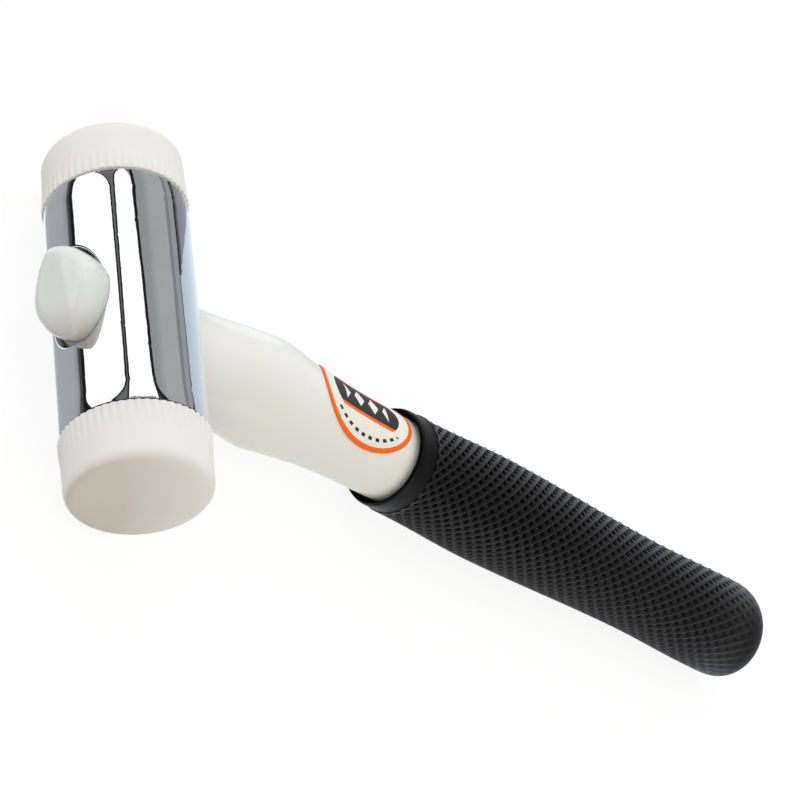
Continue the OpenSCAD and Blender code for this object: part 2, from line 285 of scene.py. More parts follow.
class Shell:
    """A closed mesh made of rings of points."""

    def __init__(self):
        self.points = []
        self.faces = []

    def ring(self, points):
        first = len(self.points)
        self.points.extend(np.asarray(points, float))
        return np.arange(first, len(self.points))

    def bridge(self, a, b):
        count = len(a)
        for i in range(count):
            j = (i + 1) % count
            self.faces.append((a[i], a[j], b[j], b[i]))

    def loft(self, rings):
        made = [self.ring(r) for r in rings]
        for a, b in zip(made, made[1:]):
            self.bridge(a, b)
        return made

    def pole(self, ring, point):
        tip = self.ring([point])[0]
        count = len(ring)
        for i in range(count):
            self.faces.append((ring[i], ring[(i + 1) % count], tip))

    def stitch(self, fine, coarse):
        """Joins two rings where one has a whole number of times the points of the other."""
        ratio = len(fine) // len(coarse)
        for i in range(len(coarse)):
            j = (i + 1) % len(coarse)
            for k in range(ratio):
                a = fine[i * ratio + k]
                b = fine[(i * ratio + k + 1) % len(fine)]
                self.faces.append((a, b, coarse[i] if k < ratio / 2 else coarse[j]))
            middle = fine[(i * ratio + math.ceil(ratio / 2)) % len(fine)]
            self.faces.append((coarse[i], middle, coarse[j]))

    def welded(self):
        """Points and faces with points that coincide joined into one."""
        keys = np.round(np.array(self.points), 4)
        points, index = np.unique(keys, axis=0, return_inverse=True)
        index = index.reshape(-1)
        faces = []
        for face in self.faces:
            corners = list(dict.fromkeys(int(index[i]) for i in face))
            if len(corners) > 2:
                faces.append(corners)
        return points, faces


def add_object(name, data):
    made = bpy.data.objects.new(name, data)
    bpy.context.scene.collection.objects.link(made)
    return made


def placed_mesh(name, points, faces):
    """A mesh in the shared frame, from points in the hammer's own frame."""
    mesh = bpy.data.meshes.new(name)
    placed = np.asarray(points) @ np.array(REST.to_3x3()).T + np.array(REST.translation)
    mesh.from_pydata(placed.tolist(), [], faces)
    return mesh


def paint(mesh, name, values):
    """Gives each point of a mesh a number that its material reads."""
    attribute = mesh.attributes.new(name, "FLOAT", "POINT")
    attribute.data.foreach_set("value", np.asarray(values, np.float32))


def add_piece(name, points, faces, material, body, node):
    """A piece of the hammer, which stands for a CAD node."""
    mesh = placed_mesh(name, points, faces)
    shape = bmesh.new()
    shape.from_mesh(mesh)
    bmesh.ops.recalc_face_normals(shape, faces=shape.faces)
    shape.to_mesh(mesh)
    shape.free()
    mesh.shade_smooth()
    mesh.materials.append(material)
    piece = add_object(name, mesh)
    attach(piece, body)
    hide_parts(node)
    return piece


def circle(r, y, angles):
    """Ring about the head's axis."""
    r = np.broadcast_to(r, angles.shape)
    return np.stack([r * np.cos(angles), np.full(angles.shape, y), r * np.sin(angles)], 1)


def barrel_r(y):
    """Radius of the chrome barrel, which falls away a little towards its ends."""
    share = np.clip((np.abs(y) - HEAD_HALF + HEAD_ROLL) / HEAD_ROLL, 0, 1)
    return HEAD_R - HEAD_ROLL_DROP * share**2


def build_head(material):
    """Barrel with an oval eye across it, ends that roll off, and a threaded socket in each end."""
    shell = Shell()
    barrel = HEAD_HALF - HEAD_ROLL
    # Steps round half of the barrel, along it, and from the eye out to the border of that half
    around = 64
    along = 36
    spread = 16
    psi = np.radians(np.linspace(-90, 90, around + 1))
    ys = np.linspace(barrel, -barrel, along + 1)[1:-1]
    border_y = np.concatenate([np.full(around + 1, barrel), ys, np.full(around + 1, -barrel), ys[::-1]])
    border_psi = np.concatenate([psi, np.full(len(ys), psi[-1]), psi[::-1], np.full(len(ys), psi[0])])
    turn = np.arctan2(border_psi / math.asin(EYE_Z / HEAD_R), border_y / EYE_Y)
    edge = np.stack([EYE_Y * np.cos(turn), EYE_Z * np.sin(turn)], 1)
    outward = np.stack([np.cos(turn) / EYE_Y, np.sin(turn) / EYE_Z], 1)
    outward /= np.linalg.norm(outward, axis=1)[:, None]
    bore = []
    for side in (1, -1):
        rings = []
        rim = edge + outward * (EYE_RIM + EDGE_LOOP / 2)
        rim_psi = np.arcsin(rim[:, 1] / HEAD_R)
        for k in range(spread, -1, -1):
            # Rings lie closer together near the eye
            w = (k / spread) ** 1.3
            y = rim[:, 0] + (border_y - rim[:, 0]) * w
            a = rim_psi + (border_psi - rim_psi) * w
            rings.append(np.stack([side * HEAD_R * np.cos(a), y, HEAD_R * np.sin(a)], 1))
        for k in range(7):
            a = math.radians(90 * k / 6)
            y, z = (edge + outward * EYE_RIM * (1 - math.sin(a))).T
            depth = EYE_RIM * (1 - math.cos(a))
            rings.append(np.stack([side * (np.sqrt(HEAD_R**2 - z**2) - depth), y, z], 1))
        bore.append(shell.loft(rings)[-1])
    shell.bridge(bore[0], bore[1])

    angles = np.radians(-90 + np.arange(2 * around) * 180 / around)
    for end in (1, -1):
        edge_y = HEAD_HALF - HEAD_EDGE
        rings = [circle(barrel_r(y), end * y, angles) for y in np.linspace(barrel, edge_y, 20)]
        for k in range(1, 11):
            a = math.radians(9 * k)
            r = barrel_r(edge_y) - HEAD_EDGE * (1 - math.cos(a))
            rings.append(circle(r, end * (edge_y + HEAD_EDGE * math.sin(a)), angles))
        rings.append(circle(barrel_r(edge_y) - HEAD_EDGE - EDGE_LOOP, end * HEAD_HALF, angles))
        rings.append(circle(SOCKET_R + SOCKET_CHAMFER + EDGE_LOOP, end * HEAD_HALF, angles))
        rings.append(circle(SOCKET_R + SOCKET_CHAMFER, end * HEAD_HALF, angles))
        threaded = SOCKET_DEPTH - SOCKET_PLAIN
        for depth in np.linspace(SOCKET_CHAMFER, threaded, 64):
            fade = smooth(SOCKET_CHAMFER, SOCKET_FULL, depth)
            fade *= smooth(threaded, threaded - SOCKET_RUNOUT, depth)
            groove = THREAD_DEPTH * fade * tooth(depth / THREAD_PITCH + end * angles / (2 * math.pi))
            rings.append(circle(SOCKET_R + groove, end * (HEAD_HALF - depth), angles))
        rings.append(circle(SOCKET_R, end * (HEAD_HALF - SOCKET_DEPTH), angles))
        rings.append(circle(SOCKET_R / 2, end * (HEAD_HALF - SOCKET_DEPTH), angles))
        made = shell.loft(rings)
        shell.pole(made[-1], (0, end * (HEAD_HALF - SOCKET_DEPTH), 0))
    points, faces = shell.welded()
    add_piece("head_body", points, faces, material, "hammer", "head")


def build_face(name, side, material, node):
    """A nylon face: striking disc, rim with ribs that fade out, seat and threaded spigot."""
    shell = Shell()
    samples = 8
    fine = np.arange(RIB_COUNT * samples) * 2 * math.pi / (RIB_COUNT * samples)
    coarse = fine[::4]
    edge_y = FACE_LEN - FACE_EDGE

    def rim_r(y):
        plain = SEAT_R + (FACE_R - SEAT_R) * y / edge_y
        arch = np.sqrt(np.abs(np.sin(fine * RIB_COUNT / 2)))
        crest = CREST_R + (RIB_ROOT_R - CREST_R) * min(1, y / RIB_LEN)
        return np.maximum(plain, RIB_ROOT_R + (crest - RIB_ROOT_R) * arch)

    def placed(r, y, angles):
        return circle(r, side * (HEAD_HALF + y), angles)

    disc_r = FACE_R - FACE_EDGE
    rings = [placed(r, FACE_LEN, fine) for r in (4, 8, 12, disc_r - 0.4)]
    for k in range(13):
        a = math.radians(90 * k / 12)
        rings.append(placed(disc_r + FACE_EDGE * math.sin(a), edge_y + FACE_EDGE * math.cos(a), fine))
    for y in np.linspace(edge_y, RIM_START, 30)[1:]:
        rings.append(placed(rim_r(y), y, fine))
    rings += [placed(rim_r(0.0) - step, y, fine) for step, y in RIM_CORNER]
    rings.append(placed(SPIGOT_R + SEAT_STEP, 0.0, fine))
    made = shell.loft(rings)
    shell.pole(made[0], (0, side * (HEAD_HALF + FACE_LEN), 0))

    rings = [placed(SPIGOT_R - THREAD_DEPTH, 0.0, coarse)]
    for depth in np.linspace(SPIGOT_NECK, SPIGOT_LEN - SPIGOT_LAST, 62):
        bevel = max(0, depth - (SPIGOT_LEN - SPIGOT_BEVEL))
        helix = depth / THREAD_PITCH - side * coarse / (2 * math.pi)
        fade = smooth(SPIGOT_NECK, SPIGOT_FULL, depth)
        r = SPIGOT_R - THREAD_DEPTH * (1 - fade * tooth(helix))
        rings.append(placed(np.minimum(r, SPIGOT_R - bevel), -depth, coarse))
    rings.append(placed(SPIGOT_R - SPIGOT_BEVEL - SPIGOT_STEP, -SPIGOT_LEN, coarse))
    rings.append(placed(SPIGOT_R / 2, -SPIGOT_LEN, coarse))
    spigot = shell.loft(rings)
    shell.stitch(made[-1], spigot[0])
    shell.pole(spigot[-1], (0, side * (HEAD_HALF - SPIGOT_LEN), 0))
    piece = add_piece(name, shell.points, shell.faces, material, node, node)

    # Painted shade and wear of the struck disc: strongest on one side, gone at the outer edge
    points = np.array(shell.points)
    from_middle = np.hypot(points[:, 0], points[:, 2])
    on_disc = side * points[:, 1] > HEAD_HALF + edge_y
    across = points[:, 0] + points[:, 2]
    down = points[:, 0] - points[:, 2]
    shade_and_wear_share = DISC_SHADE_AND_WEAR - DISC_SHADE_FALL * across - DISC_SHADE_LOW * smooth(*DISC_SHADE_LOW_AT, down)
    shade_and_wear_share *= 1 - smooth(disc_r + DISC_SHADE_AND_WEAR_FADE[0], FACE_R + DISC_SHADE_AND_WEAR_FADE[1], from_middle)
    paint(piece.data, "shade_and_wear", np.where(on_disc, shade_and_wear_share, 0))


def build_handle(material):
    """One moulding: formed end, tang through the eye, swollen shank, neck and the core in the grip."""
    shell = Shell()
    around = 112
    angles = np.arange(around) * 2 * math.pi / around
    shank_x = SHOULDER_X + SHOULDER_FADE

    def ring(x, k=1.0):
        y = k * half_size(x, TANG[0], SHOULDER[0]) * np.sin(angles)
        z = k * half_size(x, TANG[1], SHOULDER[1]) * np.cos(angles)
        return np.stack([np.full(angles.shape, x), y, z], 1)

    def outline(w, h):
        """Outline of the formed end: between an oval and a diamond, turned about the handle."""
        y = w * np.sign(np.sin(angles)) * np.abs(np.sin(angles)) ** (2 / TIP_CORNER)
        z = h * np.sign(np.cos(angles)) * np.abs(np.cos(angles)) ** (2 / TIP_CORNER)
        turned_y = y * math.cos(TIP_TURN) + z * math.sin(TIP_TURN)
        return turned_y, z * math.cos(TIP_TURN) - y * math.sin(TIP_TURN)

    def over_barrel(z):
        return -np.sqrt(HEAD_R**2 - z**2) - TIP_SEAT

    def tip_ring(t, k=1.0):
        """Ring of the formed end, a share t of the way from its seat over the barrel to its top."""
        y, z = outline(*TIP_HALF)
        x = over_barrel(TIP_SHIFT + k * z)
        k = k * dome(t, TIP_BLUNT)
        points = np.stack([
            x + (TIP_X - x) * t,
            TIP_LEAN[0] * t + k * y,
            TIP_SHIFT + (TIP_LEAN[1] - TIP_SHIFT) * t + k * z,
        ], 1)
        lump = TIP_LUMP * float(smooth(0.1, 0.5, t))
        facets = [noise.noise(Vector(p * np.array(TIP_FACET))) for p in points]
        return points + lump * np.outer(facets, (-1, 0, 0))

    def seated(x):
        """Ring that follows the barrel's curve at the shoulder and is flat again further along the shank."""
        points = ring(x)
        curve = np.sqrt(HEAD_R**2 - points[:, 2]**2) - HEAD_R
        points[:, 0] += curve * (1 - smooth(SHOULDER_X, shank_x, x))
        return points

    def tang_ring(t):
        """Ring of the tang, a share t of the way from under the formed end to where it fills the eye."""
        gap = TIP_GAP * (1 - TIP_FILLET * (1 - smooth(0, 0.25, t)))
        y, z = outline(TANG[0] / 2 - gap, TANG[1] / 2 - gap)
        full = ring(TANG_FULL_X)
        out = np.stack([over_barrel(z), y, z], 1)
        points = out + (full - out) * ease(t)
        points[:, 0] = out[:, 0] + (full[:, 0] - out[:, 0]) * t
        return points

    rings = [tip_ring(math.sin(math.radians(90 * i / 24)) ** (2 / TIP_BLUNT)) for i in range(23, 0, -1)]
    # Its edge, and two rings that turn in under it
    rings += [tip_ring(0.02), tip_ring(0.0, 0.995), tip_ring(0.0, 0.98)]
    tang_steps = np.concatenate([np.linspace(0, 0.3, 10), np.linspace(0.3, 1, 9)[1:]])
    rings += [tang_ring(t) for t in tang_steps]
    rings += [ring(x) for x in np.linspace(TANG_FULL_X, SHOULDER_X - 6, 6)[1:]]
    rings.append(seated(TANG_END_X))
    rings += [seated(x) for x in np.linspace(SHOULDER_X, shank_x, 20)[:-1]]
    stations = np.concatenate([
        np.linspace(shank_x, NECK_X, 76),
        np.linspace(NECK_X, MOUTH_X, 10)[1:],
        np.linspace(MOUTH_X, CORE_DOME_X, 12)[1:],
    ])
    rings += [ring(x) for x in stations]
    for i in range(1, 9):
        t = math.sin(math.radians(10 * i))
        rings.append(ring(CORE_DOME_X + (CORE_END_X - CORE_DOME_X) * t, dome(t, 2)))
    made = shell.loft(rings)
    shell.pole(made[0], (TIP_X, *TIP_LEAN))
    shell.pole(made[-1], (CORE_END_X, 0, 0))
    piece = add_piece(
        "handle_moulding", shell.points, shell.faces, material, "hammer", "handle")

    # Painted shade on the formed end: darker along its lower side, and a painted cool shade on the rest
    points = np.array(shell.points)
    low = smooth(*TIP_SHADE_AT, points[:, 1] + TIP_SHADE_SLANT * points[:, 2])
    for name, share in (("shade_and_wear", TIP_SHADE * low), ("cool", 1 - low)):
        paint(piece.data, name, np.where(points[:, 0] < TIP_TONE_X, share, 0))


def build_grip(material):
    """The sleeve: lip and collar, a lattice of crossing ridges with pits between, and a smooth butt."""
    around = KNURL_STARTS * KNURL_CELL

    def ridges(pitch, x):
        """Ridges of one family, counted along the grip from the collar to x."""
        rate = 1 / pitch[0]
        rise = (1 / pitch[1] - rate) / (2 * (GRIP_END_X - COLLAR_X))
        return rate * (x - COLLAR_X) + rise * (x - COLLAR_X) ** 2

    sample = np.linspace(COLLAR_X, GRIP_END_X, 4000)
    crossed = ridges(KNURL_MAIN, sample) + ridges(KNURL_CROSS, sample)
    rows = int(np.interp(KNURL_END_X, sample, crossed) * KNURL_CELL)
    j = np.arange(around)

    def relief(main, cross):
        """Height over the pits: ridges, and teeth that widen from a point behind one ridge to the next."""
        behind = main / KNURL_CELL % 1
        beside = np.abs((cross / KNURL_CELL + 0.5) % 1 - 0.5)
        ridge = np.maximum(1 - smooth(*RIDGE_FALL, behind), smooth(*RIDGE_RISE, behind))
        reach = TOOTH_POINT + TOOTH_GAIN * behind
        return np.maximum(ridge, KNURL_CROSS_HEIGHT * (1 - smooth(TOOTH_FLAT * reach, reach, beside)))

    def butt_tone(x):
        """Share of its tone that the rubber keeps at x: the smooth butt is darker."""
        return 1 - BUTT_LOSS * smooth(BUTT_X - BUTT_LOSS_AT[0], GRIP_END_X - BUTT_LOSS_AT[1], x)

    def butt_r(x):
        t = np.clip((x - BUTT_X) / (GRIP_END_X - BUTT_X), 0, 1)
        return grip_r(np.minimum(x, BUTT_X)) * dome(t, BUTT_BLUNT)

    def ring(x, r, phi, leaning):
        lean = max(0, (x - BUTT_X) / (GRIP_END_X - BUTT_X)) ** 2 if leaning else 0
        y = lean * BUTT_LEAN[0] + r * np.sin(phi)
        z = lean * BUTT_LEAN[1] + r * np.cos(phi)
        return np.stack([np.full(phi.shape, x), y, z], 1)

    shell = Shell()
    heights = []

    def add(x, r, phi, height, leaning=True):
        heights.append(np.broadcast_to(height, phi.shape))
        return shell.ring(ring(x, np.broadcast_to(r, phi.shape), phi, leaning))

    straight = 2 * math.pi / around * j
    bore = []
    for k in range(8, 0, -1):
        t = math.sin(math.radians(10 * k))
        x = CORE_DOME_X + (CORE_END_X + GRIP_FIT - CORE_DOME_X) * t
        bore.append((x, (core_r(CORE_DOME_X) + GRIP_FIT) * dome(t, 2)))
    bore += [(x, core_r(x) + GRIP_FIT) for x in np.linspace(CORE_DOME_X, MOUTH_X + FLARE_DEPTH, 8)]
    mouth_r = core_r(MOUTH_X) + GRIP_FIT + MOUTH_FLARE
    lip_r = core_r(MOUTH_X) + GRIP_FIT + LIP_WALL
    collar_r = core_r(COLLAR_X) + GRIP_FIT + COLLAR_WALL
    # Flared mouth, rounded lip and collar from the inside out: distance behind the mouth, and radius
    mouth = [
        (FLARE_DEPTH / 2, mouth_r - MOUTH_FLARE / 2),
        (0.35, mouth_r - 0.05),
        (0.12, mouth_r + 0.05),
        (0, mouth_r + 0.2),
        (0.12, lip_r - 0.08),
        (0.35, lip_r - 0.02),
        (0.6, lip_r),
        (0.85, lip_r + 0.02),
        (1.0, lip_r + 0.1),
        (1.25, collar_r - 0.06),
        (1.6, collar_r),
        (3.4, collar_r),
    ]
    bore += [(MOUTH_X + step, r) for step, r in mouth]
    bore += [(COLLAR_X - 0.4, collar_r), (COLLAR_X - 0.12, collar_r + 0.05)]
    # Painted shade in the mouth: the bore, the flared mouth and the lip are as dark as the shaded pits
    made = []
    for x, r in bore:
        on_collar = x > MOUTH_X + LIP_LEN and r > lip_r
        made.append(add(x, r, straight, COLLAR_TONE if on_collar else 0.0, False))

    lattice = []
    for k in range(rows + 1):
        x = float(np.interp(k / KNURL_CELL, crossed, sample))
        phi = 2 * math.pi / KNURL_STARTS * (j / KNURL_CELL - ridges(KNURL_CROSS, x))
        height = relief(k - j, j)
        fade = 1 - smooth(KNURL_END_X - KNURL_FADE, KNURL_END_X, x)
        depth = KNURL_DEPTH * fade * smooth(COLLAR_X, COLLAR_X + KNURL_RISE, x)
        # Tone for the rubber: painted shade in the pits, weaker towards the waist and near the butt
        to_waist = smooth(COLLAR_X + PIT_LOSS_START, WAIST_X, x)
        near_butt = smooth(KNURL_END_X - PIT_LOSS_AT[0], KNURL_END_X - PIT_LOSS_AT[1], x)
        contrast = 1 - PIT_LOSS_WAIST * to_waist - PIT_LOSS_BUTT * near_butt
        tone = butt_tone(x) * (1 - (1 - height) * contrast)
        lattice.append(add(x, butt_r(x) - depth * (1 - height), phi, tone))
    knurl_turn = math.asin((x - BUTT_X) / (GRIP_END_X - BUTT_X))
    end = []
    for k in range(1, 10):
        turn = knurl_turn + (math.pi / 2 - knurl_turn) * k / 10
        x = BUTT_X + (GRIP_END_X - BUTT_X) * math.sin(turn)
        end.append(add(x, butt_r(x), phi, butt_tone(x)))

    for a, b in zip(made, made[1:]):
        shell.bridge(a, b)
    shell.bridge(made[-1], lattice[0])
    for a, b in zip(lattice, lattice[1:]):
        for i in range(around):
            n = (i + 1) % around
            shell.faces.append((a[i], b[i], b[n]))
            shell.faces.append((a[i], b[n], a[n]))
    for a, b in zip([lattice[-1]] + end, end):
        shell.bridge(a, b)
    shell.pole(end[-1], (GRIP_END_X, *BUTT_LEAN))
    shell.pole(made[0], (CORE_END_X + GRIP_FIT, 0, 0))
    heights += [np.full(2, butt_tone(GRIP_END_X))]
    piece = add_piece("grip_sleeve", shell.points, shell.faces, material, "hammer", "grip")
    # Tone per point for the rubber: the relief, with painted shade in the pits and the mouth, and the
    # collar's and butt's tones
    paint(piece.data, "relief", np.concatenate(heights))


def build_label(material):
    """Thin oval film wrapped on the shank, with its flat plan in millimetres as a UV map."""
    rings = 24
    sides = 120
    u = np.arange(sides) * 2 * math.pi / sides

    def flat(rho):
        return np.stack([rho * LABEL_HALF[0] * np.cos(u), rho * LABEL_HALF[1] * np.sin(u)], 1)

    def wrap(plan, lift):
        x = LABEL_X + plan[:, 0]
        a = LABEL_TURN + plan[:, 1] / shank_r(x)
        r = shank_r(x) + lift
        return np.stack([x, r * np.sin(a), r * np.cos(a)], 1)

    top = LABEL_GLUE + LABEL_T
    shares = np.arange(1, rings + 1) / rings
    bevel = 0.997
    bevel_drop = 0.05
    layers = [(flat(share), top) for share in [*shares[:-1], bevel]]
    layers += [(flat(1), top - bevel_drop)]
    layers += [(flat(share), LABEL_GLUE) for share in shares[::-1]]
    shell = Shell()
    made = shell.loft([wrap(plan, lift) for plan, lift in layers])
    shell.pole(made[0], wrap(flat(0), top)[0])
    shell.pole(made[-1], wrap(flat(0), LABEL_GLUE)[0])
    piece = add_piece("label_film", shell.points, shell.faces, material, "hammer", "label")
    plan = np.concatenate([plan for plan, lift in layers] + [np.zeros((2, 2))])
    layer = piece.data.uv_layers.new(name="plan")
    corners = np.zeros(len(piece.data.loops), np.int32)
    piece.data.loops.foreach_get("vertex_index", corners)
    layer.data.foreach_set("uv", plan[corners].ravel().astype(np.float32))


class Nodes:
    """Short calls for a node tree."""

    def __init__(self, tree):
        self.nodes = tree.nodes
        self.links = tree.links

    def add(self, kind, **settings):
        node = self.nodes.new(kind)
        for name, value in settings.items():
            setattr(node, name, value)
        return node

    def feed(self, socket, value):
        if isinstance(value, bpy.types.NodeSocket):
            self.links.new(value, socket)
        else:
            socket.default_value = value

    def math(self, operation, *values):
        node = self.add("ShaderNodeMath", operation=operation)
        for socket, value in zip(node.inputs, values):
            self.feed(socket, value)
        return node.outputs[0]

    def noise(self, scale, detail=4.0):
        coords = self.add("ShaderNodeTexCoord")
        node = self.add("ShaderNodeTexNoise")
        self.links.new(coords.outputs["Object"], node.inputs["Vector"])
        node.inputs["Scale"].default_value = scale
        node.inputs["Detail"].default_value = detail
        return node.outputs["Fac"]

    def spread(self, value, low, high, start=0.3, stop=0.7):
        node = self.add("ShaderNodeMapRange")
        for socket, v in zip(node.inputs, (value, start, stop, low, high)):
            self.feed(socket, v)
        return node.outputs["Result"]

    def mix(self, factor, a, b):
        """Mix of two colours, by the colour sockets of the Mix node."""
        node = self.add("ShaderNodeMix", data_type="RGBA")
        self.feed(node.inputs[0], factor)
        self.feed(node.inputs[6], a)
        self.feed(node.inputs[7], b)
        return node.outputs[2]

    def bump(self, height, distance, under=None):
        node = self.add("ShaderNodeBump")
        node.inputs["Distance"].default_value = distance
        self.links.new(height, node.inputs["Height"])
        if under is not None:
            self.links.new(under, node.inputs["Normal"])
        return node.outputs["Normal"]

    def mix_shaders(self, factor, a, b):
        node = self.add("ShaderNodeMixShader")
        for socket, value in zip(node.inputs, (factor, a, b)):
            self.feed(socket, value)
        return node.outputs[0]

    def direct(self):
        """1 for what the camera sees, straight, in a reflection or through a piece, and 0 for lighting."""
        path = self.add("ShaderNodeLightPath")
        seen = self.math("MAXIMUM", path.outputs["Is Camera Ray"], path.outputs["Is Glossy Ray"])
        return self.math("MAXIMUM", seen, path.outputs["Is Transmission Ray"])


def new_material(name):
    """A material, its nodes and the inputs of its Principled shader."""
    material = bpy.data.materials.new(name)
    material.use_nodes = True
    n = Nodes(material.node_tree)
    return material, n, n.nodes["Principled BSDF"].inputs


def bare_material(name):
    """A material with an empty node tree."""
    material, n = new_material(name)[:2]
    n.nodes.clear()
    return material, n


def rgba(r, g, b):
    return (r, g, b, 1.0)


def chrome_material():
    """Bright plate with slow waves, fine polish marks and a roughness that varies a little."""
    material, n, shader = new_material("chrome_plate")
    tint = n.spread(n.noise(90.0), 0.0, 1.0)
    n.feed(shader["Base Color"], n.mix(tint, rgba(0.90, 0.91, 0.93), rgba(0.95, 0.955, 0.965)))
    shader["Metallic"].default_value = 1.0
    n.feed(shader["Roughness"], n.spread(n.noise(420.0, 6.0), 0.015, 0.05))
    waves = n.bump(n.noise(70.0, 2.0), 0.00006)
    n.feed(shader["Normal"], n.bump(n.noise(900.0, 3.0), 0.0000015, waves))
    return material


def nylon_material(name, dull, fresh, shade_and_wear_tone, roughness, grain):
    """Moulded nylon: a little cloudy, with painted shade and wear where it was struck, painted shade on the
    formed end's lower side and a painted cool shade on the rest of the formed end.
    """
    material, n, shader = new_material(name)
    cool_painted_shade = rgba(0.717, 0.746, 0.705)
    cloud = n.spread(n.noise(22.0, 3.0), 0.0, 1.0)
    shade_and_wear = n.add("ShaderNodeAttribute", attribute_name="shade_and_wear").outputs["Fac"]
    cool = n.add("ShaderNodeAttribute", attribute_name="cool").outputs["Fac"]
    # Painted cool shade on the formed end, then the darker tone of painted shade, and wear on the struck
    # discs
    base = n.mix(cool, n.mix(cloud, dull, fresh), cool_painted_shade)
    n.feed(shader["Base Color"], n.mix(shade_and_wear, base, shade_and_wear_tone))
    n.feed(shader["Roughness"], n.spread(n.noise(260.0, 5.0), *roughness))
    shader["Subsurface Weight"].default_value = 0.25
    shader["Subsurface Radius"].default_value = (1.0, 0.85, 0.6)
    shader["Subsurface Scale"].default_value = 0.004
    shader["IOR"].default_value = 1.53
    ripple = n.bump(n.noise(40.0, 2.0), 0.00001)
    n.feed(shader["Normal"], n.bump(n.noise(1500.0, 4.0), grain, ripple))
    return material


def rubber_material():
    """Matt black rubber with painted shade in its pits, which are darker and duller than its ridges."""
    material, n, shader = new_material("grip_rubber")
    relief = n.add("ShaderNodeAttribute", attribute_name="relief").outputs["Fac"]
    # Painted shade: the pits get a darker colour, less specular and no sheen; the noise is dust on the ridges
    crest = n.spread(relief, 0.0, 1.0, 0.15, 0.95)
    pit_shade_and_dust = n.math("MULTIPLY", crest, n.spread(n.noise(140.0, 6.0), 0.7, 1.0))
    shaded_pit_tone = rgba(0.0030, 0.0026, 0.0026)
    crest_tone = rgba(0.0150, 0.0127, 0.0127)
    n.feed(shader["Base Color"], n.mix(pit_shade_and_dust, shaded_pit_tone, crest_tone))
    n.feed(shader["Roughness"], n.spread(n.noise(600.0, 5.0), 0.36, 0.48))
    n.feed(shader["Specular IOR Level"], n.spread(crest, 0.03, 0.48, 0.0, 1.0))
    n.feed(shader["Sheen Weight"], n.spread(crest, 0.0, 0.30, 0.0, 1.0))
    shader["Sheen Roughness"].default_value = 0.35
    shader["Sheen Tint"].default_value = rgba(1.0, 0.97, 1.0)
    n.feed(shader["Normal"], n.bump(n.noise(2600.0, 4.0), 0.00001))
    return material


def label_material():
    """Printed film: orange rim, cream ground, a ring of dashes, and a charcoal band with cream diamonds
    between two orange stripes."""
    material, n, shader = new_material("label_print")
    orange = rgba(1.0, 0.150, 0.0)
    cream = rgba(0.87, 0.84, 0.75)
    charcoal = rgba(0.040, 0.036, 0.040)
    # Insets from the label's edge: orange rim, both edges of the ring of dashes, printed field
    rim_in = 1.5
    ring_out = 3.0
    ring_in = 4.0
    field_in = 5.4
    # Dashes: how many go round, how far they stay off the middle line, stretch of the label's height
    dash_count = 30
    dash_clear = 6.0
    dash_stretch = 1.4
    # Band along the middle line, and the orange stripes beside it
    band_half = 4.2
    stripe_at = 4.7
    stripe_half = 0.5
    # Diamonds: spacing, scale of their height, half size as a share of both, reach from the middle
    diamond_step = 6.0
    diamond_height = 7.5
    diamond_size = 0.36
    diamond_reach = 9.0
    plan = n.add("ShaderNodeUVMap", uv_map="plan")
    split = n.add("ShaderNodeSeparateXYZ")
    n.links.new(plan.outputs["UV"], split.inputs[0])
    x, y = split.outputs[0], split.outputs[1]
    off_band = n.math("ABSOLUTE", y)

    def oval(inset):
        """1 on the oval that lies this far inside the label's edge, more outside it."""
        along = n.math("POWER", n.math("ABSOLUTE", n.math("DIVIDE", x, LABEL_HALF[0] - inset)), 2.0)
        across = n.math("POWER", n.math("ABSOLUTE", n.math("DIVIDE", y, LABEL_HALF[1] - inset)), 2.0)
        return n.math("SQRT", n.math("ADD", along, across))

    angle = n.math("ARCTAN2", n.math("MULTIPLY", y, dash_stretch), x)
    turn = n.math("MULTIPLY", angle, dash_count / (2 * math.pi))
    dash = n.math("LESS_THAN", n.math("FRACT", turn), 0.5)
    below_out = n.math("LESS_THAN", oval(ring_out), 1.0)
    in_ring = n.math("MULTIPLY", below_out, n.math("GREATER_THAN", oval(ring_in), 1.0))
    clear = n.math("GREATER_THAN", off_band, dash_clear)
    dashes = n.math("MULTIPLY", n.math("MULTIPLY", dash, in_ring), clear)
    inside = n.math("LESS_THAN", oval(field_in), 1.0)
    band = n.math("MULTIPLY", n.math("LESS_THAN", off_band, band_half), inside)
    stripe = n.math("MULTIPLY", n.math("COMPARE", off_band, stripe_at, stripe_half), inside)
    cell = n.math("FRACT", n.math("DIVIDE", x, diamond_step))
    step = n.math("ABSOLUTE", n.math("SUBTRACT", cell, 0.5))
    off_middle = n.math("ADD", step, n.math("DIVIDE", off_band, diamond_height))
    diamond = n.math("LESS_THAN", off_middle, diamond_size)
    near = n.math("LESS_THAN", n.math("ABSOLUTE", x), diamond_reach)
    diamonds = n.math("MULTIPLY", diamond, near)

    colour = n.mix(dashes, cream, charcoal)
    colour = n.mix(band, colour, charcoal)
    colour = n.mix(n.math("MULTIPLY", diamonds, band), colour, cream)
    colour = n.mix(stripe, colour, orange)
    colour = n.mix(n.math("GREATER_THAN", oval(rim_in), 1.0), colour, orange)
    ink = n.spread(n.noise(700.0, 3.0), 0.93, 1.0)
    shade = n.add("ShaderNodeVectorMath", operation="SCALE")
    n.links.new(colour, shade.inputs[0])
    n.links.new(ink, shade.inputs["Scale"])
    n.links.new(shade.outputs[0], shader["Base Color"])
    n.feed(shader["Roughness"], n.spread(n.noise(300.0, 4.0), 0.34, 0.46))
    shader["Specular IOR Level"].default_value = 0.2
    n.feed(shader["Normal"], n.bump(n.noise(240.0, 3.0), 0.00002))
    return material


